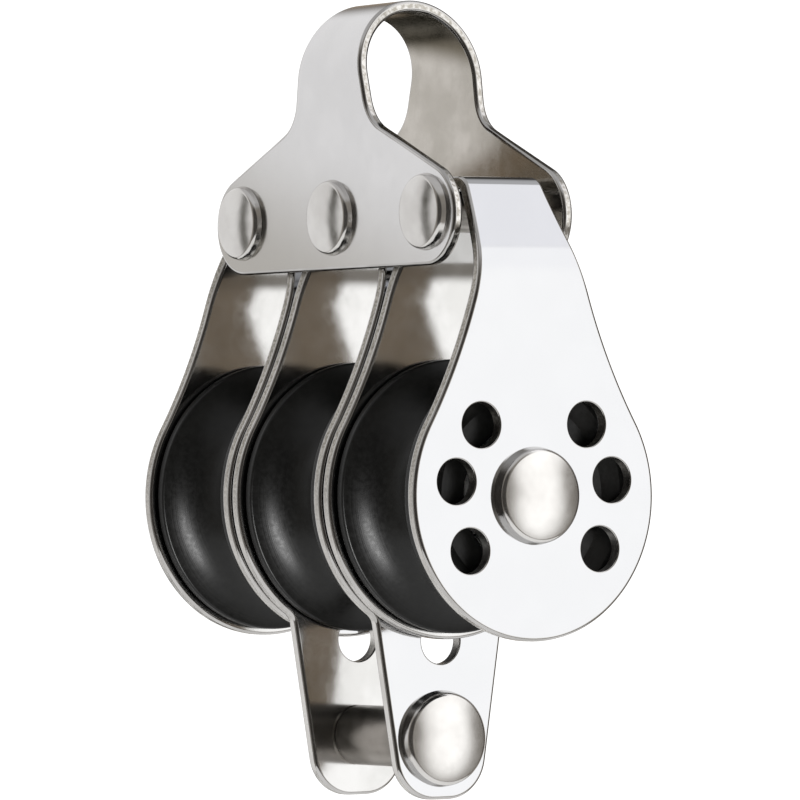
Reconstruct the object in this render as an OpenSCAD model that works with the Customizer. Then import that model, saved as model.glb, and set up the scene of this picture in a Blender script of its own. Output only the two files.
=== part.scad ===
// Triple sheave block with a becket, for 6 mm line.
// Three ball-bearing sheaves run side by side on one axle rivet. Each sheave hangs in its own
// sheet-steel strap, and the three straps hook over rivets held by one bent-sheet bail.
// +X runs along the axle, +Z points up to the bail, and the origin is the centre of the bail's eye.

/* [Sheaves] */
// Diameter over the sheave flanges
sheave_d = 22; // [21:0.1:22.4]
// Width of a sheave
sheave_w = 10.5; // [10:0.1:10.7]
// Radius of the round rope groove
groove_r = 4.6; // [4.4:0.1:4.8]
// Depth of the rope groove below the flange edge
groove_depth = 3.3; // [2.8:0.1:3.5]

/* [Ball bearings] */
// Ball diameter
ball_d = 2.6; // [2.4:0.1:2.7]
// Radius of the circle that the ball centres run on
ball_path_r = 4.55; // [4.5:0.05:4.6]
// Number of balls in a row
balls_per_row = 10; // [8:1:10]
// Distance between the two rows of balls
ball_row_spacing = 4.8; // [4:0.1:5.4]
// Running clearance between a ball and its track
ball_clearance = 0.05; // [0.03:0.01:0.08]

/* [Straps] */
// Thickness of the strap sheet
strap_t = 1.05; // [0.95:0.05:1.15]
// Clear width inside a strap, between its two cheeks
strap_inside_w = 11.05; // [11:0.05:11.2]
// Gap between the cheeks of neighbouring straps
strap_gap = 0.35; // [0.2:0.05:0.6]
// Diameter of the round part of a cheek
cheek_d = 23; // [22.6:0.1:23.6]
// Angle on the cheek circle where the hollow flank begins
flank_angle = 30.3; // [29.5:0.1:31]
// Radius of the hollow flank that narrows the cheek into its neck
flank_r = 48; // [46:1:50]
// Height above the axle where the outer faces start to lean inward
lean_z = 18.1; // [17.8:0.1:18.4]
// Angle that the upper part of a strap leans inward
lean_angle = 30; // [29:0.5:31]
// Outside radius of the bend at the foot of the lean
lean_bend_r = 9; // [6:0.5:10]
// Height of the strap's bridge above the axle
bridge_z = 25.4; // [25.3:0.05:25.6]
// Outside radius of the bends at the two sides of the bridge
bridge_bend_r = 1.7; // [1.6:0.1:2]

/* [Lightening holes] */
// Diameter of the holes in the cheeks
hole_d = 3.6; // [3:0.1:3.8]
// Radius of the circle that the hole centres lie on
hole_circle_r = 7.55; // [7.4:0.05:7.6]
// Angles of the holes above the horizontal, the same on both sides
hole_angles = [48, 9, -34.5]; // [-60:0.5:60]

/* [Becket] */
// Depth of the becket pin below the axle
becket_z = 19.5; // [19:0.1:20]
// Angle of taper of each side of the becket legs
becket_taper = 9; // [8:0.5:10]
// Radius of the two rounded corners at the tip of a becket leg
becket_tip_r = 3.6; // [3.4:0.1:3.8]
// Half the length of the straight stretch between those corners
becket_tip_flat = 0.75; // [0.5:0.05:1]
// Depth of the bottom of the becket legs below the axle
becket_bottom_z = 24.4; // [24:0.1:24.8]
// Depth below the axle of the hole at the root of each leg
becket_hole_z = 11.65; // [11.5:0.05:11.8]
// Diameter of the hole at the root of each leg
becket_hole_d = 3.7; // [3:0.1:3.8]
// Outside diameter of the spacer tube between the legs
becket_tube_d = 4.9; // [4.4:0.1:5.4]
// Radius of the fillet between a cheek circle and a becket leg
becket_fillet_r = 1.5; // [1:0.1:2]

/* [Bail] */
// Thickness of the bail sheet
bail_t = 0.9; // [0.8:0.05:1]
// Outside width of the bail across its two plates, front to back
bail_w = 11.5; // [11.5:0.1:11.8]
// Height of the eye centre above the axle
eye_z = 34.15; // [34:0.05:34.5]
// Outside radius of the loop over the eye
loop_r = 6; // [6:0.05:6.1]
// Angle that the bail's upper legs spread toward the loop
leg_spread = 2.6; // [2.5:0.1:3]
// Radius of the rounded ends of the plates
plate_end_r = 4.05; // [4:0.05:4.15]
// Drop of the centres of those ends below the outer head rivets
plate_end_drop = 0.2; // [0:0.05:0.3]
// Slope of the plates' shoulders
shoulder_angle = 23.5; // [22:0.5:25]
// Half width of the neck at the height of the eye centre
neck_half_w = 4.65; // [4.5:0.05:4.8]
// Angle that each side of the neck leans in toward the top
neck_angle = 11.3; // [10:0.5:12]
// Radius of the hollow corner between neck and shoulder
neck_fillet_r = 3.5; // [3:0.1:4]

/* [Rivets] */
// Height of the head rivets above the axle
head_rivet_z = 22.6; // [22.5:0.05:22.7]
// Shank diameter of the axle rivet
axle_d = 4.5; // [4.3:0.1:4.6]
// Head diameter of the axle and becket rivets
large_head_d = 7.8; // [7.4:0.1:8.2]
// Shank diameter of the becket rivet
becket_rivet_d = 3.5; // [3.2:0.1:3.6]
// Shank diameter of the head rivets
head_rivet_d = 2.4; // [2.2:0.1:2.5]
// Head diameter of the head rivets
small_head_d = 6.2; // [5.8:0.1:6.4]
// Outside diameter of the spacer sleeves on the head rivets
sleeve_d = 3.3; // [3.1:0.05:3.35]
// Clearance between a rivet shank and its hole, on the radius
rivet_clearance = 0.05; // [0.03:0.01:0.08]

/* [Hidden] */
$fn = 64;

// Steps in an arc that is drawn from its formula
arc_steps = 12;
// A shade inside a circle, so that a tangent outline meets it cleanly
just_inside = 0.999;
// Angles by which the ends of a tangent arc clear the outlines that it runs into
flank_lead = 1;
fillet_lead = 6;
// Share of the cheek's radius at which the becket legs start, inside the cheek circle
leg_root = 0.75;
// Turn of each row of balls, in ball pitches, so that each row sits between the other's balls
row_stagger = 0.25;
// Extra length of a cutting shape past the surface it cuts
past = 1;

cheek_r = cheek_d/2;
strap_outside_x = strap_inside_w/2 + strap_t;
unit_pitch = 2*strap_outside_x + strap_gap;
unit_x = [-unit_pitch, 0, unit_pitch];
axle_end_x = unit_pitch + strap_outside_x;
bail_y = bail_w/2;
top_z = eye_z + loop_r + past;
becket_tip_z = becket_bottom_z - becket_tip_r;

// Rivet heads: a short, slightly tapered wall with a shallow dome on it
head_wall_h = 0.95;
head_wall_taper = 0.2;
head_dome_h = 0.4;
small_head_wall_h = 0.65;

// Bearing surfaces
race_bore_r = axle_d/2 + rivet_clearance;
track_depth = 0.35;
race_r = ball_path_r - ball_d/2 + track_depth;
sheave_bore_r = ball_path_r + ball_d/2 - track_depth;

// Dished sides of a sheave
dish_depth = 0.5;
dish_outer_r = 9.2;
dish_inner_r = 7.7;

steel = [0.82, 0.81, 0.79];
rivet_steel = [0.76, 0.75, 0.73];
black_acetal = [0.1, 0.1, 0.1];
white_acetal = [0.92, 0.91, 0.88];

// ---- Shared helpers ----

function arc_points(centre, r, from, to) =
    [for (i = [0:arc_steps]) let(a = from + (to - from)*i/arc_steps) centre + r*[cos(a), sin(a)]];

function mirrored(points) = [for (i = [len(points) - 1:-1:0]) [-points[i].x, points[i].y]];

// A closed outline from its right half, which is listed from the bottom up
function both_sides(points) = concat(points, mirrored(points));

// Everything is drawn with the axle at zero height and then hung from the eye
module below_eye() translate([0, 0, -eye_z]) children();

// A flat outline in Y and Z, swept along X
module sweep_x(length) rotate([90, 0, 90]) linear_extrude(length, center = true) children();

// A flat outline in X and Z, swept along Y
module sweep_y(length) rotate([90, 0, 0]) linear_extrude(length, center = true) children();

// A profile of radius and height, spun about X
module spin_x() rotate([0, 90, 0]) rotate_extrude() children();

module rod_x(r, length) rotate([0, 90, 0]) cylinder(r = r, h = length, center = true);

module rod_y(r, length) rotate([90, 0, 0]) cylinder(r = r, h = length, center = true);

module at_unit(i) translate([unit_x[i], 0, 0]) children();

// ---- Straps ----

// Half profile of a strap seen along Y, moved in from its outer face by `inset`
function strap_half_profile(inset, bottom) =
    let(
        bend_z = lean_z - lean_bend_r*tan(lean_angle/2),
        bend_centre = [strap_outside_x - lean_bend_r, bend_z],
        face_offset = strap_outside_x*cos(lean_angle) + lean_z*sin(lean_angle),
        top_z = bridge_z - bridge_bend_r,
        top_centre = [(face_offset - bridge_bend_r - top_z*sin(lean_angle))/cos(lean_angle), top_z]
    )
    concat(
        [[strap_outside_x - inset, bottom]],
        arc_points(bend_centre, lean_bend_r - inset, 0, lean_angle),
        arc_points(top_centre, bridge_bend_r - inset, lean_angle, 90)
    );

module strap_band(bottom) {
    sweep_y(2*cheek_d) difference() {
        polygon(both_sides(strap_half_profile(0, bottom)));
        polygon(both_sides(strap_half_profile(strap_t, bottom - past)));
    }
}

// Round cheek with hollow flanks that narrow into the neck
module cheek_outline() {
    flank_centre = (cheek_r + flank_r)*[cos(flank_angle), sin(flank_angle)];
    flank_start = 180 + flank_angle - flank_lead;
    flank_end = 180 + asin((flank_centre.y - bridge_z - past)/flank_r);
    circle(r = cheek_r);
    polygon(both_sides(concat(
        [[0, 0], just_inside*cheek_r*[cos(flank_angle), sin(flank_angle)]],
        arc_points(flank_centre, flank_r, flank_start, flank_end)
    )));
}

// Tapered leg with a rounded tip, and the fillets that run it into the cheek circle
module becket_leg_outline() {
    outward = [cos(becket_taper), -sin(becket_taper)];
    upward = [sin(becket_taper), cos(becket_taper)];
    tip_centre = [becket_tip_flat, -becket_tip_z];
    side_foot = tip_centre + just_inside*becket_tip_r*outward;
    side_length = becket_tip_z - leg_root*cheek_r;
    side_offset = side_foot*outward;
    fillet_drop = sqrt(pow(cheek_r + becket_fillet_r, 2) - pow(side_offset + becket_fillet_r, 2));
    fillet_centre = (side_offset + becket_fillet_r)*outward - fillet_drop*upward;
    fillet_start = 180 - becket_taper - fillet_lead;
    fillet_end = 180 + atan2(fillet_centre.y, fillet_centre.x) + fillet_lead;
    for (side = [-1, 1]) translate([side*becket_tip_flat, -becket_tip_z]) circle(r = becket_tip_r);
    polygon(both_sides([
        [becket_tip_flat, -becket_tip_z - just_inside*becket_tip_r],
        side_foot,
        side_foot + side_length*upward
    ]));
    polygon(both_sides(concat(
        [[0, -becket_hole_z - becket_hole_d/2]],
        arc_points(fillet_centre, becket_fillet_r, fillet_start, fillet_end),
        [[0, -leg_root*cheek_r]]
    )));
}

module lightening_holes() {
    for (a = hole_angles, side = [-1, 1])
        translate([0, side*hole_circle_r*cos(a), hole_circle_r*sin(a)])
            rod_x(hole_d/2, 2*cheek_d);
}

module axle_hole() rod_x(axle_d/2 + rivet_clearance, 2*cheek_d);

module plain_strap() {
    color(steel) difference() {
        intersection() {
            strap_band(-cheek_d);
            sweep_x(cheek_d) cheek_outline();
        }
        lightening_holes();
        axle_hole();
    }
}

module strap_with_becket() {
    color(steel) difference() {
        intersection() {
            strap_band(-becket_bottom_z - past);
            sweep_x(cheek_d) {
                cheek_outline();
                becket_leg_outline();
            }
        }
        lightening_holes();
        axle_hole();
        translate([0, 0, -becket_hole_z]) rod_x(becket_hole_d/2, 2*cheek_d);
        translate([0, 0, -becket_z]) rod_x(becket_rivet_d/2 + rivet_clearance, 2*cheek_d);
    }
}

// ---- Sheaves and their bearings ----

// Round tracks for the two rows of balls
module ball_tracks() {
    for (side = [-1, 1]) translate([ball_path_r, side*ball_row_spacing/2])
        circle(r = ball_d/2 + ball_clearance);
}

module sheave() {
    rim_r = sheave_d/2;
    side_x = sheave_w/2;
    color(black_acetal) spin_x() difference() {
        translate([sheave_bore_r, -side_x]) square([rim_r - sheave_bore_r, sheave_w]);
        translate([rim_r - groove_depth + groove_r, 0]) circle(r = groove_r);
        ball_tracks();
        for (side = [-1, 1]) scale([1, side]) polygon([
            [sheave_bore_r - past, side_x - dish_depth],
            [dish_inner_r, side_x - dish_depth],
            [dish_outer_r, side_x],
            [dish_outer_r, side_x + past],
            [sheave_bore_r - past, side_x + past]
        ]);
    }
}

module ball_set() {
    color(white_acetal) for (i = [0:balls_per_row - 1], side = [-1, 1])
        rotate([360*(i + side*row_stagger)/balls_per_row, 0, 0])
            translate([side*ball_row_spacing/2, 0, ball_path_r]) sphere(d = ball_d);
}

module inner_race() {
    color(steel) spin_x() difference() {
        translate([race_bore_r, -strap_inside_w/2]) square([race_r - race_bore_r, strap_inside_w]);
        ball_tracks();
    }
}

// ---- Rivets, sleeves and the spacer tube ----

// Half of a headed rivet as radius and height, from the middle of the shank to the top of the dome
module rivet_profile(shank_r, head_r, half_grip, wall_h) {
    dome_r = (pow(head_r - head_wall_taper, 2) + pow(head_dome_h, 2))/(2*head_dome_h);
    square([shank_r, half_grip + wall_h]);
    polygon([
        [0, half_grip],
        [head_r, half_grip],
        [head_r - head_wall_taper, half_grip + wall_h],
        [0, half_grip + wall_h]
    ]);
    intersection() {
        translate([0, half_grip + wall_h - head_dome_h])
            square([head_r - head_wall_taper, 3*head_dome_h]);
        translate([0, half_grip + wall_h + head_dome_h - dome_r]) circle(r = dome_r);
    }
}

// A rivet with both heads formed, along Z
module rivet(shank_r, head_r, half_grip, wall_h) {
    color(rivet_steel) for (side = [0, 180]) rotate([side, 0, 0]) rotate_extrude()
        rivet_profile(shank_r, head_r, half_grip, wall_h);
}

module sleeve(outer_r, inner_r, length) {
    color(rivet_steel) difference() {
        cylinder(r = outer_r, h = length, center = true);
        cylinder(r = inner_r, h = length + past, center = true);
    }
}

module axle_rivet() {
    rotate([0, 90, 0]) rivet(axle_d/2, large_head_d/2, axle_end_x, head_wall_h);
}

module becket_rivet() {
    translate([0, 0, -becket_z]) rotate([0, 90, 0])
        rivet(becket_rivet_d/2, large_head_d/2, strap_outside_x, head_wall_h);
}

module becket_spacer_tube() {
    translate([0, 0, -becket_z]) rotate([0, 90, 0])
        sleeve(becket_tube_d/2, becket_rivet_d/2 + rivet_clearance, strap_inside_w);
}

module head_rivet() {
    translate([0, 0, head_rivet_z]) rotate([90, 0, 0])
        rivet(head_rivet_d/2, small_head_d/2, bail_y, small_head_wall_h);
}

module head_sleeve() {
    translate([0, 0, head_rivet_z]) rotate([90, 0, 0])
        sleeve(sleeve_d/2, head_rivet_d/2 + rivet_clearance, bail_w - 2*bail_t);
}

// ---- Bail ----

// The bail's profile seen along X, moved in from its outer face by `inset`
module bail_profile(inset, bottom) {
    r = loop_r - inset;
    plate_y = bail_y - inset;
    arc_start = [r*cos(leg_spread), eye_z - r*sin(leg_spread)];
    spread_length = (arc_start.x - plate_y)/sin(leg_spread);
    translate([0, eye_z]) circle(r = r);
    polygon(both_sides([
        [plate_y, bottom],
        [plate_y, arc_start.y - spread_length*cos(leg_spread)],
        [just_inside*arc_start.x, arc_start.y],
        [0, eye_z]
    ]));
}

// The bail seen along Y: a plate with round ends, sloping shoulders and a tapering neck
module bail_outline() {
    shoulder_normal = [sin(shoulder_angle), cos(shoulder_angle)];
    neck_normal = [cos(neck_angle), sin(neck_angle)];
    end_centre = [unit_pitch, head_rivet_z - plate_end_drop];
    shoulder_offset = end_centre*shoulder_normal + plate_end_r;
    neck_offset = [neck_half_w, eye_z]*neck_normal;
    fillet_a = shoulder_offset + neck_fillet_r;
    fillet_b = neck_offset + neck_fillet_r;
    spread = shoulder_normal.x*neck_normal.y - shoulder_normal.y*neck_normal.x;
    fillet_centre = [
        (fillet_a*neck_normal.y - fillet_b*shoulder_normal.y)/spread,
        (fillet_b*shoulder_normal.x - fillet_a*neck_normal.x)/spread
    ];
    for (side = [-1, 1]) translate([side*end_centre.x, end_centre.y]) circle(r = plate_end_r);
    polygon(both_sides(concat(
        [
            end_centre - [0, just_inside*plate_end_r],
            end_centre + just_inside*plate_end_r*shoulder_normal
        ],
        arc_points(fillet_centre, neck_fillet_r, 270 - shoulder_angle, 180 + neck_angle),
        [[(neck_offset - top_z*neck_normal.y)/neck_normal.x, top_z]]
    )));
}

module bail() {
    color(steel) difference() {
        intersection() {
            sweep_x(2*axle_end_x) difference() {
                bail_profile(0, 0);
                bail_profile(bail_t, -past);
            }
            sweep_y(2*bail_w) bail_outline();
        }
        for (x = unit_x) translate([x, 0, head_rivet_z])
            rod_y(head_rivet_d/2 + rivet_clearance, 2*bail_w);
    }
}

below_eye() bail();
below_eye() at_unit(0) plain_strap();  // left_strap
below_eye() at_unit(1) strap_with_becket();  // middle_strap
below_eye() at_unit(2) plain_strap();  // right_strap
below_eye() at_unit(0) sheave();  // left_sheave
below_eye() at_unit(1) sheave();  // middle_sheave
below_eye() at_unit(2) sheave();  // right_sheave
below_eye() at_unit(0) ball_set();  // left_ball_set
below_eye() at_unit(1) ball_set();  // middle_ball_set
below_eye() at_unit(2) ball_set();  // right_ball_set
below_eye() at_unit(0) inner_race();  // left_inner_race
below_eye() at_unit(1) inner_race();  // middle_inner_race
below_eye() at_unit(2) inner_race();  // right_inner_race
below_eye() axle_rivet();
below_eye() at_unit(0) head_rivet();  // left_head_rivet
below_eye() at_unit(1) head_rivet();  // middle_head_rivet
below_eye() at_unit(2) head_rivet();  // right_head_rivet
below_eye() at_unit(0) head_sleeve();  // left_head_sleeve
below_eye() at_unit(1) head_sleeve();  // middle_head_sleeve
below_eye() at_unit(2) head_sleeve();  // right_head_sleeve
below_eye() becket_rivet();
below_eye() becket_spacer_tube();
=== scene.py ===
"""Looks of a triple sheave block with a becket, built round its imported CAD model.

The sheet-metal parts, the sheaves, the rivets and the spacer tube are built here with rounded edges and
stand for their CAD nodes. The bearings and the sleeves inside keep their CAD shapes and get a finish.
Sizes of the parts are in millimetres and are turned into metres where a mesh is made. The materials' bumps,
the floor and the lamp are in metres. Angles are in degrees.
"""

import math

import bpy
import numpy as np
from mathutils import Matrix, Vector
from mathutils.geometry import delaunay_2d_cdt


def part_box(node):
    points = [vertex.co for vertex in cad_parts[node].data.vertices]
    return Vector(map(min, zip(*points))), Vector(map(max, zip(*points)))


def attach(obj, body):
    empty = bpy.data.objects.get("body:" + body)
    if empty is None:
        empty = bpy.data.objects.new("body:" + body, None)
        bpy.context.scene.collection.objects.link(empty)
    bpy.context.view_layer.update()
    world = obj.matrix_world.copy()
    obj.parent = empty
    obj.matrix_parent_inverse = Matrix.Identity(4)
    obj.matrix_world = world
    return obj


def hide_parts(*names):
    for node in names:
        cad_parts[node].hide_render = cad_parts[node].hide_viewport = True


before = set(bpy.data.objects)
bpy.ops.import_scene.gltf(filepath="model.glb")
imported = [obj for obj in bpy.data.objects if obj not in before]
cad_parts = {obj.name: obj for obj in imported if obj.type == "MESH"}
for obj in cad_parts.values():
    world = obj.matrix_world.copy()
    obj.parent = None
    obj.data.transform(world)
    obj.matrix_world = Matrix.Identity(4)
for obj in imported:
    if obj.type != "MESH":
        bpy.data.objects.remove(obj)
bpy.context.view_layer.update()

MM = 0.001
UNITS = ("left", "middle", "right")


# ---- Positions, from the CAD nodes ----


def centre_of(node):
    """Middle of a CAD node, in millimetres."""
    low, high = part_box(node)
    return (low + high) / 2 / MM


def size_of(node):
    """Size of a CAD node along X, Y and Z, in millimetres."""
    low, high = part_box(node)
    return (high - low) / MM


AXLE = centre_of("axle_rivet")
BECKET = centre_of("becket_rivet")
UNIT_X = {unit: centre_of(f"{unit}_sheave").x for unit in UNITS}
HEAD_RIVET_Z = centre_of("middle_head_rivet").z - AXLE.z
PITCH = UNIT_X["right"] - UNIT_X["middle"]

# ---- Sizes of the sheet parts, with heights above the axle ----

STRAP_T = 1.05
STRAP_HALF_W = size_of("right_strap").x / 2
CHEEK_R = size_of("right_strap").y / 2
FLANK_ANGLE = 30.3
FLANK_R = 48.0
LEAN_Z = 18.1
LEAN_ANGLE = 30.0
LEAN_BEND_R = 9.0
BRIDGE_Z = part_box("right_strap")[1].z / MM - AXLE.z
BRIDGE_BEND_R = 1.7
HOLE_R = 1.8
HOLE_CIRCLE_R = 7.55
HOLE_ANGLES = (48, 9, -34.5)
AXLE_HOLE_R = 2.3

BECKET_Z = BECKET.z - AXLE.z
BECKET_BOTTOM_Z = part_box("middle_strap")[0].z / MM - AXLE.z
BECKET_TAPER = 9.0
BECKET_TIP_R = 3.6
BECKET_TIP_FLAT = 0.75
BECKET_HOLE_Z = -11.65
BECKET_HOLE_R = 1.85
BECKET_RIVET_HOLE_R = 1.8
BECKET_FILLET_R = 1.5

BAIL_T = 0.9
BAIL_HALF_W = 5.75
EYE_Z = -AXLE.z
LOOP_R = 6.0
LEG_SPREAD = 2.6
LEG_BEND_R = 4.0
PLATE_END_R = 4.05
PLATE_END_DROP = 0.2
SHOULDER_ANGLE = 23.5
NECK_HALF_W = 4.65
NECK_ANGLE = 11.3
NECK_FILLET_R = 3.5
HEAD_RIVET_HOLE_R = 1.25

EDGE_ROUND = 0.28
HOLE_EDGE_ROUND = 0.12
ROUND_STEPS = 5
ROW_SPACING = 0.6

# ---- Sizes of the turned parts ----

SHEAVE_R = 11.0
SHEAVE_HALF_W = 5.25
GROOVE_R = 4.6
GROOVE_DEPTH = 3.3
SHEAVE_BORE_R = 5.5
DISH_DEPTH = 0.5
DISH_OUTER_R = 9.2
DISH_INNER_R = 7.7
TRACK_R = 1.35
TRACK_PATH_R = 4.55
TRACK_X = 2.4

HEAD_TAPER = 0.2
DOME_H = 0.4
AXLE_SHANK_R = 2.25
BECKET_SHANK_R = 1.75
HEAD_SHANK_R = 1.2
LARGE_HEAD_R = 3.9
SMALL_HEAD_R = 3.1
LARGE_WALL = 0.95
SMALL_WALL = 0.65
RIM_ROUND = 0.45
TUBE_R = 2.45
TUBE_BORE_R = 1.8
TUBE_END_ROUND = 0.36


# ---- Small geometry helpers, in two dimensions ----


def polar(r, degrees):
    return np.array([r * math.cos(math.radians(degrees)), r * math.sin(math.radians(degrees))])


def arc(centre, r, start, stop, spacing=0.25):
    """Points along an arc, from one angle to another in degrees."""
    count = max(4, int(abs(math.radians(stop - start)) * r / spacing))
    return [np.array(centre) + polar(r, a) for a in np.linspace(start, stop, count + 1)]


def line(a, b, spacing=0.8):
    """Points along a line, without its first one."""
    a, b = np.array(a), np.array(b)
    count = max(1, int(np.linalg.norm(b - a) / spacing))
    return [a + (b - a) * i / count for i in range(1, count + 1)]


def circle(centre, r, count=64):
    """A round hole, listed clockwise."""
    angles = np.linspace(0, -360, count, endpoint=False)
    return [np.array(centre) + polar(r, a) for a in angles]


def outward_normals(loop):
    """Unit normals of a closed loop. They point out of a part whose outline runs counterclockwise."""
    points = np.array(loop)
    along = np.roll(points, -1, 0) - np.roll(points, 1, 0)
    normals = np.stack([along[:, 1], -along[:, 0]], 1)
    return normals / np.linalg.norm(normals, axis=1)[:, None]


def inside(points, loop):
    """Which points lie inside a closed loop."""
    a = np.array(loop)
    b = np.roll(a, -1, 0)
    x, y = points[:, :1], points[:, 1:]
    spans = (a[:, 1] > y) != (b[:, 1] > y)
    rise = np.where(b[:, 1] == a[:, 1], 1e-12, b[:, 1] - a[:, 1])
    crossing = a[:, 0] + (y - a[:, 1]) * (b[:, 0] - a[:, 0]) / rise
    return (spans & (x < crossing)).sum(1) % 2 == 1


class BentPath:
    """The middle line of a bent sheet, from its top centre down one side. Segments are (length, turn)."""

    def __init__(self, top_z, segments):
        self.top_z, self.segments = top_z, segments
        self.length = sum(length for length, _ in segments)
        self.samples = np.linspace(0, self.length, 4001)
        self.heights = np.array([self.at(u)[0][1] for u in self.samples])

    def at(self, u):
        """Point and direction at distance u from the top centre; the direction is degrees below level."""
        point, heading, left = np.array([0.0, self.top_z]), 0.0, abs(u)
        for length, turn in self.segments:
            step = min(left, length)
            if turn:
                r = length / math.radians(turn)
                end = heading + turn * step / length
                a, b = math.radians(heading), math.radians(end)
                point = point + r * np.array([math.sin(b) - math.sin(a), math.cos(b) - math.cos(a)])
                heading = end
            else:
                a = math.radians(heading)
                point = point + step * np.array([math.cos(a), -math.sin(a)])
            left -= step
            if left <= 0:
                break
        return point, heading

    def distance(self, z):
        """Distance from the top centre to the place at height z."""
        return float(np.interp(-z, -self.heights, self.samples))

    def place(self, u, height):
        """Where a point of the flat blank goes, and the directions that its three axes take there."""
        point, heading = self.at(u)
        side = 1 if u >= 0 else -1
        a = math.radians(heading)
        out = np.array([side * math.sin(a), math.cos(a)])
        along = np.array([math.cos(a), -side * math.sin(a)])
        return np.array([side * point[0], point[1]]) + height * out, along, out


# ---- Meshes ----


def add_piece(name, body, made, materials, node):
    """Adds an object that stands for a CAD node.

    made is (vertices in millimetres, faces, shading normals, each face's place in materials).
    """
    vertices, faces, normals, finishes = made
    mesh = bpy.data.meshes.new(name)
    mesh.from_pydata([tuple(v) for v in np.array(vertices) * MM], [], faces)
    for material in materials:
        mesh.materials.append(material)
    mesh.polygons.foreach_set("material_index", np.array(finishes, np.int32))
    mesh.polygons.foreach_set("use_smooth", np.ones(len(faces), bool))
    mesh.validate()
    mesh.normals_split_custom_set_from_vertices([tuple(n) for n in normals])
    mesh.update()
    piece = bpy.data.objects.new(name, mesh)
    bpy.context.scene.collection.objects.link(piece)
    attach(piece, body)
    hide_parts(node)


def rim_profile(thickness, rounding):
    """Steps round a sheet's edge: distance in from the outline, height, and the normal's angle from level."""
    steps = []
    for i in range(ROUND_STEPS + 1):
        a = math.radians(90 - 90 * i / ROUND_STEPS)
        inset = rounding * (1 - math.cos(a))
        steps.append((inset, thickness / 2 - rounding * (1 - math.sin(a)), math.degrees(a)))
    return steps + [(inset, -height, -a) for inset, height, a in reversed(steps)]


def four_way(half):
    """A closed counterclockwise loop from a half outline that runs from the top centre line to the tip.

    Also gives, for the i-th point of the half, the indices of its copies on the two edges of each leg.
    """
    half = [np.array(p, float) for p in half]
    count = len(half)
    loop = [p * (1, -1) for p in half] + half[-2::-1]
    loop += [p * (-1, 1) for p in half[1:]] + [-p for p in half[-2:0:-1]]
    top = 2 * count - 2

    def row_ends(i):
        return [(0, top)] if i == 0 else [(i, top - i), (len(loop) - i, top + i)]

    return loop, row_ends


def bent_sheet(half_outline, bend_rows, holes, path, thickness, to_world):
    """Mesh of a piece of sheet with rounded edges, cut to an outline and bent along a path.

    half_outline runs in (u, v) from the top centre line (u = 0) to the tip of one leg (v = 0), and is
    mirrored to the other edge and to the other leg. holes are (u, v, r) and are cut in both legs.
    Finishes: 0 outer face, 1 inner face, 2 sheared edge, 3 the rounded corners beside it.
    """
    outer, row_ends = four_way(half_outline)
    loops = [(outer, EDGE_ROUND)]
    for side in (1, -1):
        loops += [(circle((side * u, v), r), HOLE_EDGE_ROUND) for u, v, r in holes]

    blank, blank_normals, rims = [], [], []
    for loop, rounding in loops:
        normals = outward_normals(loop)
        rings = []
        for inset, height, angle in rim_profile(thickness, rounding):
            level, upright = math.cos(math.radians(angle)), math.sin(math.radians(angle))
            rings.append(range(len(blank), len(blank) + len(loop)))
            for p, n in zip(np.array(loop) - inset * normals, normals):
                blank.append((p[0], p[1], height))
                blank_normals.append((n[0] * level, n[1] * level, upright))
        rims.append(rings)

    # the flat faces: each point of the plan stands for one on the outer and one on the inner face
    plan, pairs, edges = [], [], []
    for rings in rims:
        start, size = len(plan), len(rings[0])
        plan += [Vector(blank[i][:2]) for i in rings[0]]
        pairs += list(zip(rings[0], rings[-1]))
        edges += [(start + i, start + (i + 1) % size) for i in range(size)]
    # rows of points across the bends keep every triangle between two neighbouring rows
    for ends in [pair for i in range(bend_rows) for pair in row_ends(i)]:
        a, b = (np.array(plan[i]) for i in ends)
        across = max(2, int(np.linalg.norm(b - a) / ROW_SPACING))
        row = [ends[0]]
        for p in (a + (b - a) * k / across for k in range(1, across)):
            row.append(len(plan))
            plan.append(Vector(p))
            pairs.append((len(blank), len(blank) + 1))
            blank += [(p[0], p[1], thickness / 2), (p[0], p[1], -thickness / 2)]
            blank_normals += [(0, 0, 1), (0, 0, -1)]
        row.append(ends[1])
        edges += list(zip(row, row[1:]))
    points, _, triangles, origins, _, _ = delaunay_2d_cdt(plan, edges, [], 1, 1e-7)
    centres = np.array([np.mean([points[i] for i in t], axis=0) for t in triangles])
    keep = inside(centres, [blank[i][:2] for i in rims[0][0]])
    for rings in rims[1:]:
        keep &= ~inside(centres, [blank[i][:2] for i in rings[0]])

    faces, finishes = [], []
    for triangle in np.array(triangles)[keep]:
        corners = [pairs[origins[i][0]] for i in triangle]
        faces += [[outer_face for outer_face, _ in corners], [inner_face for _, inner_face in corners[::-1]]]
        finishes += [0, 1]
    for rings in rims:
        size = len(rings[0])
        for step, (upper, lower) in enumerate(zip(rings, rings[1:])):
            faces += [(upper[i], lower[i], lower[(i + 1) % size], upper[(i + 1) % size]) for i in range(size)]
            finishes += [2 if step == ROUND_STEPS else 3] * size

    vertices, normals = [], []
    for (u, v, height), normal in zip(blank, blank_normals):
        point, along, out = path.place(u, height)
        vertices.append(to_world(point[0], v, point[1]))
        turned_normal = normal[0] * along + normal[2] * out
        normals.append(to_world(turned_normal[0], normal[1], turned_normal[1], direction=True))
    return vertices, faces, normals, finishes


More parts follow.
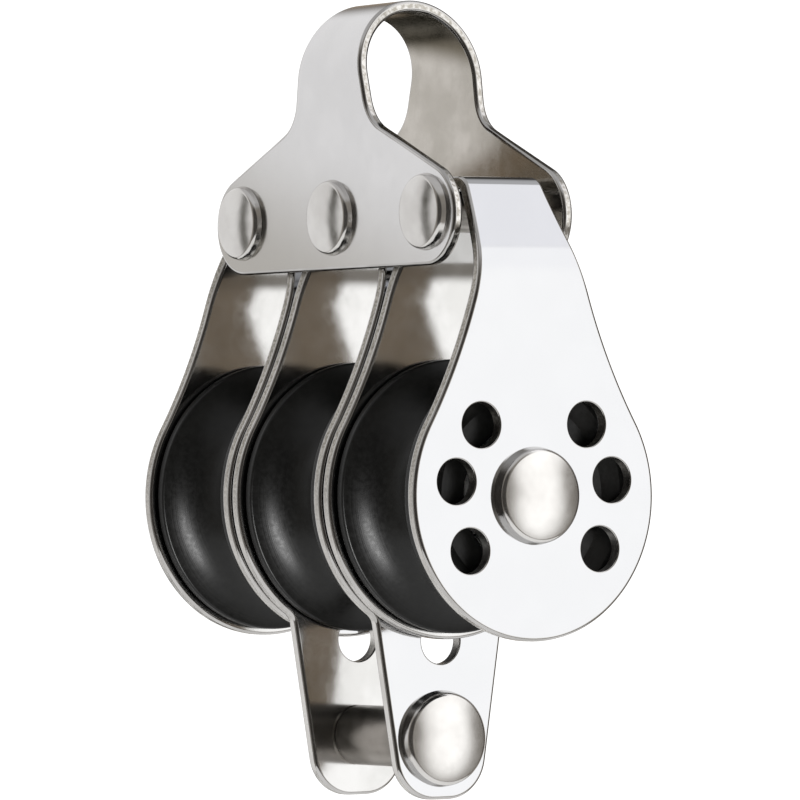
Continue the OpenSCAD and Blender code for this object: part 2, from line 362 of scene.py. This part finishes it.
def rounded_profile(corners, steps=5):
    """Points and normals along a profile of (r, x, rounding), listed so that solid is on the left.

    A rounding of 0 marks a point on a smooth curve.
    """
    points = [np.array(c[:2], float) for c in corners]
    out = []
    for i, (r, x, rounding) in enumerate(corners):
        before, here, after = points[i - 1], points[i], points[(i + 1) % len(points)]
        first = (here - before) / max(np.linalg.norm(here - before), 1e-9)
        second = (after - here) / max(np.linalg.norm(after - here), 1e-9)
        if not rounding:
            along = first + second
            along /= np.linalg.norm(along)
            out.append((here, np.array([along[1], -along[0]])))
            continue
        turn = math.atan2(first[0] * second[1] - first[1] * second[0], float(first @ second))
        reach = rounding * math.tan(abs(turn) / 2)
        side = np.array([-first[1], first[0]]) * (1 if turn > 0 else -1)
        centre = here - first * reach + side * rounding
        for k in range(steps + 1):
            a = turn * k / steps
            along = np.array([
                first[0] * math.cos(a) - first[1] * math.sin(a),
                first[0] * math.sin(a) + first[1] * math.cos(a),
            ])
            away = np.array([along[1], -along[0]])
            out.append((centre + away * rounding * (1 if turn > 0 else -1), away))
    return out


def turned(profile, closed, spin, segments=192):
    """Revolves a profile of (radius, height) and normals. spin gives the world place of (height, a, b)."""
    vertices, normals, faces, rings = [], [], [], []
    for point, normal in profile:
        r, height = point
        ring = []
        lone = r < 1e-6
        for k in range(1 if lone else segments):
            a = 2 * math.pi * k / segments
            ring.append(len(vertices))
            vertices.append(spin(height, r * math.cos(a), r * math.sin(a)))
            side = 0 if lone else normal[0]
            axial = math.copysign(1, normal[1]) if lone else normal[1]
            normals.append(spin(axial, side * math.cos(a), side * math.sin(a), direction=True))
        rings.append(ring)
    pairs = list(zip(rings, rings[1:])) + ([(rings[-1], rings[0])] if closed else [])
    for a, b in pairs:
        for k in range(segments):
            j = (k + 1) % segments
            if len(a) == 1:
                faces.append((a[0], b[j], b[k]))
            elif len(b) == 1:
                faces.append((a[j], b[0], a[k]))
            else:
                faces.append((a[j], b[j], b[k], a[k]))
    return vertices, faces, normals, [0] * len(faces)


# ---- Materials ----


class Nodes:
    """Short calls for building a material's node tree."""

    def __init__(self, name):
        self.material = bpy.data.materials.new(name)
        self.material.use_nodes = True
        self.tree = self.material.node_tree
        self.shader = next(n for n in self.tree.nodes if n.type == "BSDF_PRINCIPLED")
        self.coords = self.add("ShaderNodeTexCoord").outputs["Object"]

    def add(self, kind, **settings):
        node = self.tree.nodes.new(kind)
        for key, value in settings.items():
            setattr(node, key, value)
        return node

    def link(self, source, target):
        self.tree.links.new(source, target)

    def put(self, target, value):
        """Links a socket, or sets a plain value."""
        if isinstance(value, bpy.types.NodeSocket):
            self.link(value, target)
        else:
            target.default_value = value

    def math(self, operation, a, b=0.0):
        node = self.add("ShaderNodeMath", operation=operation)
        for socket, value in zip(node.inputs, (a, b)):
            self.put(socket, value)
        return node.outputs[0]

    def stretched(self, scale, offset=(0, 0, 0)):
        node = self.add("ShaderNodeMapping")
        self.link(self.coords, node.inputs["Vector"])
        node.inputs["Scale"].default_value = scale
        node.inputs["Location"].default_value = offset
        return node.outputs[0]

    def noise(self, scale, detail=3.0, vector=None, roughness=0.5):
        node = self.add("ShaderNodeTexNoise")
        self.link(vector or self.coords, node.inputs["Vector"])
        node.inputs["Scale"].default_value = scale
        node.inputs["Detail"].default_value = detail
        node.inputs["Roughness"].default_value = roughness
        return node.outputs["Fac"]

    def remap(self, value, low, high, to_low, to_high):
        node = self.add("ShaderNodeMapRange", interpolation_type="SMOOTHSTEP")
        for key, number in zip(("From Min", "From Max", "To Min", "To Max"), (low, high, to_low, to_high)):
            node.inputs[key].default_value = number
        self.link(value, node.inputs["Value"])
        return node.outputs["Result"]

    def blend(self, factor, a, b):
        """Mixes two colours."""
        node = self.add("ShaderNodeMix", data_type="RGBA")
        self.put(node.inputs[0], factor)
        self.put(node.inputs[6], (*a, 1) if isinstance(a, tuple) else a)
        self.put(node.inputs[7], (*b, 1) if isinstance(b, tuple) else b)
        return node.outputs[2]

    def bump(self, height, strength, distance, normal=None):
        node = self.add("ShaderNodeBump")
        node.inputs["Strength"].default_value = strength
        node.inputs["Distance"].default_value = distance
        self.link(height, node.inputs["Height"])
        if normal:
            self.link(normal, node.inputs["Normal"])
        return node.outputs["Normal"]

    def finish(self, **inputs):
        for name, value in inputs.items():
            socket = self.shader.inputs[name.replace("_", " ")]
            if isinstance(value, tuple) and len(value) == 3:
                value = (*value, 1)
            self.put(socket, value)
        return self.material


def steel(name, light, dark, rough_low, rough_high, wave=0.0, grain=0.0, grain_scale=9000, scratch=0.0,
          blotch_scale=260, painted_reflection=None):
    """Stainless steel: a blotchy tone, uneven polish, slight waves, fine grain and hairline scratches.

    The last argument paints a reflection into the steel's colour by height. It is (colour, start, stop,
    lean):
    the steel has that colour at the height `start`, in millimetres above the axle, and its own from the
    height
    `stop` on. Both drop by `lean` for each millimetre toward +X.
    """
    n = Nodes(name)
    blotch = n.noise(blotch_scale, 4)
    tone = n.remap(blotch, 0.35, 0.65, 0, 1)
    colour = n.blend(tone, dark, light)
    # painted reflection: the given colour at one height, blending into the steel's own colour by another
    if painted_reflection:
        reflection_tone, start, stop, lean = painted_reflection
        place = n.add("ShaderNodeSeparateXYZ")
        n.link(n.coords, place.inputs[0])
        level = n.math("ADD", place.outputs[2], n.math("MULTIPLY", place.outputs[0], lean))
        colour = n.blend(n.remap(level, (AXLE.z + start) * MM, (AXLE.z + stop) * MM, 0, 1), reflection_tone, colour)
    polish = n.noise(900, 5, roughness=0.6)
    roughness = n.remap(polish, 0.3, 0.7, rough_low, rough_high)
    normal = None
    if wave:
        normal = n.bump(n.noise(120, 1), 1.0, wave)
    if grain:
        normal = n.bump(n.noise(grain_scale, 2), 1.0, grain, normal)
    if scratch:
        lines = n.noise(1.0, 2, n.stretched((400, 400, 16000)))
        normal = n.bump(n.remap(lines, 0.62, 0.72, 0, 1), 1.0, scratch, normal)
    inputs = {"Base_Color": colour, "Roughness": roughness, "Metallic": 1.0}
    if normal:
        inputs["Normal"] = normal
    return n.finish(**inputs)


def black_acetal(name, x, axle):
    """Satin black plastic with faint turning marks round the axle and a little dust-like mottling."""
    n = Nodes(name)
    across = n.add("ShaderNodeSeparateXYZ")
    n.link(n.stretched((1, 1, 1), (-x * MM, -axle.y * MM, -axle.z * MM)), across.inputs[0])
    radius = n.math("SQRT", n.math("ADD", n.math("POWER", across.outputs[1], 2.0),
                                   n.math("POWER", across.outputs[2], 2.0)))
    place = n.add("ShaderNodeCombineXYZ")
    n.link(across.outputs[0], place.inputs[0])
    n.link(radius, place.inputs[1])
    marks = n.noise(5200, 2, place.outputs[0])
    mottle = n.noise(1500, 4)
    colour = n.blend(n.remap(mottle, 0.3, 0.7, 0, 1), (0.0022, 0.0022, 0.0020), (0.0034, 0.0034, 0.0031))
    roughness = n.remap(n.noise(3000, 4), 0.3, 0.7, 0.30, 0.38)
    normal = n.bump(marks, 0.35, 0.00002)
    normal = n.bump(n.noise(14000, 2), 0.25, 0.00001, normal)
    return n.finish(Base_Color=colour, Roughness=roughness, Normal=normal, Metallic=0.0,
                    Specular_IOR_Level=0.24)


def white_acetal(name):
    n = Nodes(name)
    colour = n.blend(n.noise(2500, 3), (0.80, 0.79, 0.75), (0.88, 0.87, 0.84))
    return n.finish(Base_Color=colour, Roughness=n.remap(n.noise(4000), 0.3, 0.7, 0.22, 0.32), Metallic=0.0)


STRAP_FACE = steel("strap_polished_steel", (0.553, 0.556, 0.564), (0.546, 0.549, 0.557), 0.045, 0.075,
                   wave=0.0000012, scratch=0.0000004)
STRAP_INSIDE = steel("strap_inside_steel", (0.575, 0.570, 0.560), (0.515, 0.510, 0.497), 0.10, 0.15,
                     wave=0.000002, grain=0.0000005)
# painted reflection: the sheared edges turn lighter below the axle
SHEARED_EDGE = steel("sheared_edge_steel", (0.38, 0.36, 0.325), (0.19, 0.175, 0.15), 0.26, 0.42,
                     wave=0.000003, grain=0.000010, grain_scale=6000, blotch_scale=5000,
                     painted_reflection=((0.68, 0.665, 0.64), -9.0, 6.0, 0.0))
ROLLED_EDGE = steel("rolled_edge_steel", (0.52, 0.51, 0.50), (0.44, 0.43, 0.415), 0.10, 0.17, wave=0.000002)
# painted reflection: the bail's outer faces turn darker toward the bottom
BAIL_FACE = steel("bail_satin_steel", (0.68, 0.675, 0.675), (0.655, 0.65, 0.65), 0.15, 0.19,
                  wave=0.0000012, scratch=0.0000005, painted_reflection=((0.42, 0.405, 0.375), 15.0, 29.0, 0.33))
# painted reflection: a dark patch at the top of the inside of the loop
BAIL_INSIDE = steel("bail_inside_steel", (0.55, 0.52, 0.475), (0.45, 0.425, 0.38), 0.17, 0.23,
                    wave=0.000002, grain=0.000003, painted_reflection=((0.15, 0.13, 0.095), 37.2, 34.8, 0.2))
BAIL_EDGE = steel("bail_edge_steel", (0.60, 0.585, 0.56), (0.34, 0.32, 0.285), 0.12, 0.22,
                  wave=0.000003, grain=0.000004, grain_scale=6000, blotch_scale=3000)
RIVET_STEEL = steel("rivet_steel", (0.65, 0.637, 0.618), (0.575, 0.56, 0.54), 0.14, 0.20,
                    wave=0.0000012, grain=0.0000010)
TUBE_STEEL = steel("tube_drawn_steel", (0.325, 0.30, 0.272), (0.235, 0.218, 0.195), 0.28, 0.36,
                   grain=0.0000008)
SLEEVE_STEEL = steel("sleeve_drawn_steel", (0.50, 0.48, 0.45), (0.42, 0.40, 0.37), 0.25, 0.35, grain=0.000002)
RACE_STEEL = steel("race_ground_steel", (0.62, 0.61, 0.59), (0.55, 0.54, 0.52), 0.14, 0.22, grain=0.000001)
BALL_PLASTIC = white_acetal("ball_acetal")


# ---- Straps ----


def strap_path():
    """The middle line of a strap: bridge, leaning side and cheek."""
    lean = math.radians(LEAN_ANGLE)
    bend_z = LEAN_Z - LEAN_BEND_R * math.tan(lean / 2)
    face_offset = STRAP_HALF_W * math.cos(lean) + LEAN_Z * math.sin(lean)
    top_z = BRIDGE_Z - BRIDGE_BEND_R
    top_x = (face_offset - BRIDGE_BEND_R - top_z * math.sin(lean)) / math.cos(lean)
    radial = np.array([math.cos(lean), math.sin(lean)])
    top = np.array([top_x, top_z]) + BRIDGE_BEND_R * radial
    foot = np.array([STRAP_HALF_W - LEAN_BEND_R, bend_z]) + LEAN_BEND_R * radial
    half_t = STRAP_T / 2
    turn = 90 - LEAN_ANGLE
    return BentPath(BRIDGE_Z - half_t, [
        (top_x, 0),
        (math.radians(turn) * (BRIDGE_BEND_R - half_t), turn),
        (float(np.linalg.norm(top - foot)), 0),
        (lean * (LEAN_BEND_R - half_t), LEAN_ANGLE),
        (bend_z - BECKET_BOTTOM_Z + 1, 0),
    ])


def flank_outline(path):
    """The strap's edge from the top centre down to where it meets the cheek circle, as (u, y)."""
    centre = polar(CHEEK_R + FLANK_R, FLANK_ANGLE)
    end = path.distance(CHEEK_R * math.sin(math.radians(FLANK_ANGLE)))
    bend_end = sum(length for length, _ in path.segments[:4])
    fine = np.linspace(0, bend_end, 49)
    coarse = np.linspace(bend_end, end, 28)[1:]
    points = []
    for u in np.concatenate([fine, coarse]):
        z = path.at(u)[0][1]
        points.append((u, centre[0] - math.sqrt(FLANK_R**2 - (z - centre[1]) ** 2)))
    return points, len(fine)


def plain_outline(path):
    points, bend_rows = flank_outline(path)
    for p in arc((0, 0), CHEEK_R, FLANK_ANGLE, -90)[1:]:
        points.append((path.distance(p[1]), p[0]))
    points[-1] = (points[-1][0], 0.0)
    return points, bend_rows


def becket_outline(path):
    """The cheek circle, then the fillet, side and rounded tip of a becket leg."""
    points, bend_rows = flank_outline(path)
    taper = math.radians(BECKET_TAPER)
    outward = np.array([math.cos(taper), -math.sin(taper)])
    upward = np.array([math.sin(taper), math.cos(taper)])
    tip_centre = np.array([BECKET_TIP_FLAT, BECKET_BOTTOM_Z + BECKET_TIP_R])
    offset = float((tip_centre + BECKET_TIP_R * outward) @ outward)
    reach = CHEEK_R + BECKET_FILLET_R
    fillet_centre = (offset + BECKET_FILLET_R) * outward
    fillet_centre = fillet_centre - math.sqrt(reach**2 - (offset + BECKET_FILLET_R) ** 2) * upward
    meet = math.degrees(math.atan2(fillet_centre[1], fillet_centre[0]))
    edge = arc((0, 0), CHEEK_R, FLANK_ANGLE, meet)[1:]
    edge += arc(fillet_centre, BECKET_FILLET_R, 180 + meet, 180 - BECKET_TAPER, 0.15)[1:]
    edge += line(edge[-1], tip_centre + BECKET_TIP_R * outward)
    edge += arc(tip_centre, BECKET_TIP_R, -BECKET_TAPER, -90)[1:]
    edge.append(np.array([0.0, BECKET_BOTTOM_Z]))
    return points + [(path.distance(p[1]), p[0]) for p in edge], bend_rows


def add_strap(unit):
    path = strap_path()
    holes = [(path.distance(0), 0, AXLE_HOLE_R)]
    for angle in HOLE_ANGLES:
        y, z = polar(HOLE_CIRCLE_R, angle)
        holes += [(path.distance(z), side * y, HOLE_R) for side in (1, -1)]
    if unit == "middle":
        outline, rows = becket_outline(path)
        holes.append((path.distance(BECKET_HOLE_Z), 0, BECKET_HOLE_R))
        holes.append((path.distance(BECKET_Z), 0, BECKET_RIVET_HOLE_R))
    else:
        outline, rows = plain_outline(path)
    x0 = UNIT_X[unit]

    def to_world(across, v, z, direction=False):
        return (across, v, z) if direction else (x0 + across, v, z + AXLE.z)

    add_piece(f"{unit}_strap_sheet", "frame", bent_sheet(outline, rows, holes, path, STRAP_T, to_world),
              [STRAP_FACE, STRAP_INSIDE, SHEARED_EDGE, ROLLED_EDGE], f"{unit}_strap")


# ---- Bail ----


def bail_path():
    """The middle line of the bail: over the loop, down a spreading leg, then straight down the plate."""
    spread = math.radians(LEG_SPREAD)
    leg = (LOOP_R * math.cos(spread) - BAIL_HALF_W) / math.sin(spread)
    bend = LEG_BEND_R * math.tan(spread / 2)
    loop_mid_r = LOOP_R - BAIL_T / 2
    drop = EYE_Z - LOOP_R * math.sin(spread) - leg * math.cos(spread)
    return BentPath(EYE_Z + loop_mid_r, [
        (math.radians(90 + LEG_SPREAD) * loop_mid_r, 90 + LEG_SPREAD),
        (leg - bend, 0),
        (spread * LEG_BEND_R, -LEG_SPREAD),
        (drop - bend - (HEAD_RIVET_Z - PLATE_END_DROP - PLATE_END_R) + 1, 0),
    ])


def bail_outline(path):
    """Half of the bail's edge as (u, x): neck, hollow corner, shoulder, round end and bottom."""
    shoulder = np.array([math.sin(math.radians(SHOULDER_ANGLE)), math.cos(math.radians(SHOULDER_ANGLE))])
    neck = np.array([math.cos(math.radians(NECK_ANGLE)), math.sin(math.radians(NECK_ANGLE))])
    end_centre = np.array([PITCH, HEAD_RIVET_Z - PLATE_END_DROP])
    shoulder_offset = float(end_centre @ shoulder) + PLATE_END_R
    neck_offset = float(np.array([NECK_HALF_W, EYE_Z]) @ neck)
    fillet_centre = np.linalg.solve(
        np.array([shoulder, neck]), np.array([shoulder_offset + NECK_FILLET_R, neck_offset + NECK_FILLET_R]))
    neck_end = fillet_centre - NECK_FILLET_R * neck
    stop = path.distance(neck_end[1])
    bend_end = min(stop, sum(length for length, _ in path.segments[:3]))
    us = np.linspace(0, stop, 60)
    points = [(u, (neck_offset - path.at(u)[0][1] * neck[1]) / neck[0]) for u in us]
    edge = arc(fillet_centre, NECK_FILLET_R, 180 + NECK_ANGLE, 270 - SHOULDER_ANGLE, 0.2)[1:]
    edge += line(edge[-1], end_centre + PLATE_END_R * shoulder)
    edge += arc(end_centre, PLATE_END_R, 90 - SHOULDER_ANGLE, -90)[1:]
    edge += line(edge[-1], (0.0, end_centre[1] - PLATE_END_R), 2.0)
    rows = int(np.searchsorted(us, bend_end)) + 1
    return points + [(path.distance(p[1]), p[0]) for p in edge], min(rows, len(us))


def add_bail():
    path = bail_path()
    outline, rows = bail_outline(path)
    height = path.distance(HEAD_RIVET_Z)
    holes = [(height, i * PITCH, HEAD_RIVET_HOLE_R) for i in (-1, 0, 1)]

    def to_world(across, v, z, direction=False):
        return (v, -across, z) if direction else (v, -across, z + AXLE.z)

    add_piece("bail_sheet", "frame", bent_sheet(outline, rows, holes, path, BAIL_T, to_world),
              [BAIL_FACE, BAIL_INSIDE, BAIL_EDGE, ROLLED_EDGE], "bail")


# ---- Sheaves ----


def sheave_profile():
    """Closed profile of (radius, x): bore with two ball tracks, dished sides and the rope groove."""
    groove_x = math.sqrt(GROOVE_R**2 - (GROOVE_R - GROOVE_DEPTH) ** 2)
    groove_centre = SHEAVE_R - GROOVE_DEPTH + GROOVE_R
    side_x = SHEAVE_HALF_W
    corners = [
        (DISH_INNER_R, -side_x + DISH_DEPTH, 0.2),
        (DISH_OUTER_R, -side_x, 0.2),
        (SHEAVE_R, -side_x, 0.18),
        (SHEAVE_R, -groove_x, 0.25),
    ]
    half = math.degrees(math.asin(groove_x / GROOVE_R))
    for a in np.linspace(-half, half, 33)[1:-1]:
        inward, across = polar(GROOVE_R, a)
        corners.append((groove_centre - inward, across, 0))
    corners += [
        (SHEAVE_R, groove_x, 0.25),
        (SHEAVE_R, side_x, 0.18),
        (DISH_OUTER_R, side_x, 0.2),
        (DISH_INNER_R, side_x - DISH_DEPTH, 0.2),
        (SHEAVE_BORE_R, side_x - DISH_DEPTH, 0.15),
    ]
    track_half = math.degrees(math.acos((SHEAVE_BORE_R - TRACK_PATH_R) / TRACK_R))
    for side in (1, -1):
        reach = TRACK_R * math.sin(math.radians(track_half))
        corners.append((SHEAVE_BORE_R, side * TRACK_X + reach, 0.05))
        for a in np.linspace(track_half, -track_half, 9)[1:-1]:
            corners.append((TRACK_PATH_R + TRACK_R * math.cos(math.radians(a)),
                            side * TRACK_X + TRACK_R * math.sin(math.radians(a)), 0))
        corners.append((SHEAVE_BORE_R, side * TRACK_X - reach, 0.05))
    corners.append((SHEAVE_BORE_R, -side_x + DISH_DEPTH, 0.15))
    return rounded_profile(corners)


def along_x(x0, y0, z0):
    """Stands a turned part along X, about a centre."""
    def spin(height, a, b, direction=False):
        return (height, a, b) if direction else (x0 + height, y0 + a, z0 + b)
    return spin


def along_y(x0, y0, z0):
    """Stands a turned part along Y, about a centre."""
    def spin(height, a, b, direction=False):
        return (a, -height, b) if direction else (x0 + a, y0 - height, z0 + b)
    return spin


def add_sheave(unit):
    x = UNIT_X[unit]
    material = black_acetal(f"{unit}_sheave_acetal", x, AXLE)
    add_piece(f"{unit}_sheave_moulding", f"{unit}_sheave",
              turned(sheave_profile(), True, along_x(x, AXLE.y, AXLE.z)), [material],
              f"{unit}_sheave")


# ---- Rivets and the spacer tube ----


def rivet_profile(shank_r, head_r, half_grip, wall):
    """Open profile from the pole of one dome to the pole of the other."""
    rim_r = head_r - HEAD_TAPER
    dome_r = (rim_r**2 + DOME_H**2) / (2 * DOME_H)
    rim_z = half_grip + wall
    # the dome's points stop short of its rim, where the rounding starts
    dome = [(dome_r * math.sin(a), rim_z + DOME_H - dome_r + dome_r * math.cos(a), 0)
            for a in np.linspace(0, math.asin((rim_r - RIM_ROUND) / dome_r), 24)]
    upper = dome + [(rim_r, rim_z, RIM_ROUND), (head_r, half_grip, 0.06), (shank_r, half_grip, 0.03)]
    corners = [(r, -x, rounding) for r, x, rounding in upper] + [
        (r, x, rounding) for r, x, rounding in reversed(upper)]
    profile = rounded_profile(corners)
    # the poles lie on the axis, where the normal runs along it
    profile[0] = (profile[0][0], np.array([0.0, -1.0]))
    profile[-1] = (profile[-1][0], np.array([0.0, 1.0]))
    return profile


def add_rivet(node, shank_r, head_r, half_grip, wall, spin):
    made = turned(rivet_profile(shank_r, head_r, half_grip, wall), False, spin)
    add_piece(f"{node}_headed", "frame", made, [RIVET_STEEL], node)


def add_rivets():
    add_rivet("axle_rivet", AXLE_SHANK_R, LARGE_HEAD_R, PITCH + STRAP_HALF_W, LARGE_WALL,
              along_x(AXLE.x, AXLE.y, AXLE.z))
    add_rivet("becket_rivet", BECKET_SHANK_R, LARGE_HEAD_R, STRAP_HALF_W, LARGE_WALL,
              along_x(BECKET.x, BECKET.y, BECKET.z))
    for unit in UNITS:
        add_rivet(f"{unit}_head_rivet", HEAD_SHANK_R, SMALL_HEAD_R, BAIL_HALF_W, SMALL_WALL,
                  along_y(UNIT_X[unit], 0, HEAD_RIVET_Z + AXLE.z))


def add_spacer_tube():
    half = STRAP_HALF_W - STRAP_T
    corners = [(TUBE_BORE_R, half, 0.1), (TUBE_BORE_R, -half, 0.1),
               (TUBE_R, -half, TUBE_END_ROUND), (TUBE_R, half, TUBE_END_ROUND)]
    made = turned(rounded_profile(corners), True, along_x(BECKET.x, BECKET.y, BECKET.z))
    add_piece("becket_spacer_drawn", "frame", made, [TUBE_STEEL], "becket_spacer_tube")


def finish_hidden_nodes():
    """The bearings and head sleeves keep their CAD shape."""
    for unit in UNITS:
        for node, material in ((f"{unit}_ball_set", BALL_PLASTIC), (f"{unit}_inner_race", RACE_STEEL),
                               (f"{unit}_head_sleeve", SLEEVE_STEEL)):
            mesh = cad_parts[node].data
            mesh.materials.clear()
            mesh.materials.append(material)


# ---- Floor, light and camera ----

# Height and radius of the floor, in metres
FLOOR_Z = -0.420
FLOOR_R = 0.6

# The room as gloss sees it. Each part has the direction of its middle (azimuth, elevation), the angles
# from there at which it starts to show and shows fully, and its colour. Later parts cover earlier ones.
ROOM_COLOUR = (0.30, 0.28, 0.255)
ROOM_PARTS = (
    (146, 0, 45, 25, (0.40, 0.325, 0.248)),  # warm side, seen twice reflected inside the straps
    (136, 42, 34, 18, (0.05, 0.045, 0.04)),  # darkens the edges of the bail's right shoulder
    (76, 0, 22, 11, (0.06, 0.05, 0.045)),  # dark strip beside the bright right side
    (203, 12, 52, 36, (0.98, 0.975, 0.98)),  # bright left side, seen in the bail's front plate
    (170, -30, 27, 15, (0.03, 0.028, 0.02)),  # dark low corner, seen inside the loop
    (314, 0, 50, 34, (0.045, 0.04, 0.035)),  # dark side round the camera
    # a dark upright bar, seen in the rivets' domes
    *((229, elevation, 8, 2, (0.10, 0.095, 0.08)) for elevation in (-18, -9, 0, 9, 18)),
    # bright right side, seen in the cheeks and the large domes
    (47, 30, 21, 11, (1.60, 1.60, 1.62)),
    *((32.5, elevation, 20, 7, (1.67, 1.67, 1.67)) for elevation in (12, -5)),
    (0, 90, 50, 34, (0.65, 0.65, 0.66)),  # the room's top
    (54, 54, 14, 9.3, (1.40, 1.40, 1.45)),  # bluer top of the bright right side, seen in the leaning faces
)
PLAIN_LIGHT = (1.2, 1.2, 1.2)


def add_floor():
    count = 96
    turns = [2 * math.pi * i / count for i in range(count)]
    ring = [(FLOOR_R * math.cos(a), FLOOR_R * math.sin(a), FLOOR_Z) for a in turns]
    mesh = bpy.data.meshes.new("floor")
    mesh.from_pydata(ring, [], [list(range(count))])
    n = Nodes("pale_floor")
    colour = n.blend(n.noise(6, 2), (0.86, 0.86, 0.86), (0.89, 0.89, 0.89))
    mesh.materials.append(n.finish(Base_Color=colour, Roughness=0.9, Metallic=0.0))
    floor = bpy.data.objects.new("floor", mesh)
    bpy.context.scene.collection.objects.link(floor)


def compass(azimuth, elevation=0.0):
    """A direction: azimuth counterclockwise from +X, elevation above level."""
    a, e = math.radians(azimuth), math.radians(elevation)
    return Vector((math.cos(a) * math.cos(e), math.sin(a) * math.cos(e), math.sin(e)))


def add_strip(name, azimuth, elevation, distance, width, height, power, lit):
    """A soft oval lamp that faces the block and lights only the pieces named in `lit`. power is in watts."""
    light = bpy.data.lights.new(name, "AREA")
    light.shape, light.size, light.size_y, light.energy = "ELLIPSE", width, height, power
    strip = bpy.data.objects.new(name, light)
    away = compass(azimuth, elevation)
    strip.location = Vector((0, 0, AXLE.z * MM)) + away * distance
    strip.rotation_mode = "QUATERNION"
    strip.rotation_quaternion = (-away).to_track_quat("-Z", "Y")
    strip.visible_camera = False
    bpy.context.scene.collection.objects.link(strip)
    group = bpy.data.collections.new(f"{name}_lit")
    for piece in lit:
        group.objects.link(bpy.data.objects[piece])
    strip.light_linking.receiver_collection = group


def add_studio():
    """The world: gloss sees the room's parts, and every other ray an even pale light."""
    world = bpy.data.worlds.new("studio")
    bpy.context.scene.world = world
    world.use_nodes = True
    tree = world.node_tree
    background = next(n for n in tree.nodes if n.type == "BACKGROUND")
    coords = tree.nodes.new("ShaderNodeTexCoord")

    def toward(azimuth, elevation, start, stop):
        """1 within the angle `stop` of a direction, falling to 0 at the angle `start` away from it."""
        dot = tree.nodes.new("ShaderNodeVectorMath")
        dot.operation = "DOT_PRODUCT"
        tree.links.new(coords.outputs["Generated"], dot.inputs[0])
        dot.inputs[1].default_value = compass(azimuth, elevation)
        ramp = tree.nodes.new("ShaderNodeMapRange")
        ramp.interpolation_type = "SMOOTHSTEP"
        ramp.inputs["From Min"].default_value = math.cos(math.radians(start))
        ramp.inputs["From Max"].default_value = math.cos(math.radians(stop))
        tree.links.new(dot.outputs["Value"], ramp.inputs["Value"])
        return ramp.outputs["Result"]

    def over(factor, base, colour):
        mix = tree.nodes.new("ShaderNodeMix")
        mix.data_type = "RGBA"
        tree.links.new(factor, mix.inputs[0])
        if isinstance(base, tuple):
            mix.inputs[6].default_value = (*base, 1)
        else:
            tree.links.new(base, mix.inputs[6])
        mix.inputs[7].default_value = (*colour, 1)
        return mix.outputs[2]

    room = ROOM_COLOUR
    for azimuth, elevation, start, stop, colour in ROOM_PARTS:
        room = over(toward(azimuth, elevation, start, stop), room, colour)
    rays = tree.nodes.new("ShaderNodeLightPath")
    mix = tree.nodes.new("ShaderNodeMix")
    mix.data_type = "RGBA"
    tree.links.new(rays.outputs["Is Glossy Ray"], mix.inputs[0])
    mix.inputs[6].default_value = (*PLAIN_LIGHT, 1)
    tree.links.new(room, mix.inputs[7])
    tree.links.new(mix.outputs[2], background.inputs["Color"])


def add_camera():
    """A long lens, nearly level with the axle, to the right of the block's front. Distances are in mm."""
    azimuth, elevation, roll = 56.24, -0.61, -0.58
    distance, sideways, lift, lens = 562.0, 0.493, 7.848, 311.04
    a, e, r = (math.radians(v) for v in (azimuth, elevation, roll))
    back = Vector((math.sin(a) * math.cos(e), -math.cos(a) * math.cos(e), math.sin(e)))
    right = Vector((math.cos(a), math.sin(a), 0))
    up = back.cross(right)
    tilted_right = math.cos(r) * right + math.sin(r) * up
    tilted_up = -math.sin(r) * right + math.cos(r) * up
    data = bpy.data.cameras.new("camera")
    data.lens, data.sensor_width = lens, 36.0
    camera = bpy.data.objects.new("camera", data)
    turn = Matrix((tilted_right, tilted_up, back)).transposed().to_4x4()
    spot = Vector((0, 0, AXLE.z)) + sideways * tilted_right + lift * tilted_up + distance * back
    camera.matrix_world = Matrix.Translation(spot * MM) @ turn
    bpy.context.scene.collection.objects.link(camera)
    bpy.context.scene.camera = camera


for unit_name in UNITS:
    add_strap(unit_name)
    add_sheave(unit_name)
add_bail()
add_rivets()
add_spacer_tube()
finish_hidden_nodes()
add_floor()
add_studio()
add_strip("low_strip", 319, -27, 0.50, 0.10, 0.34, 3.0,
          [f"{unit_name}_sheave_moulding" for unit_name in UNITS])
add_camera()
bpy.context.scene.view_settings.view_transform = "Standard"
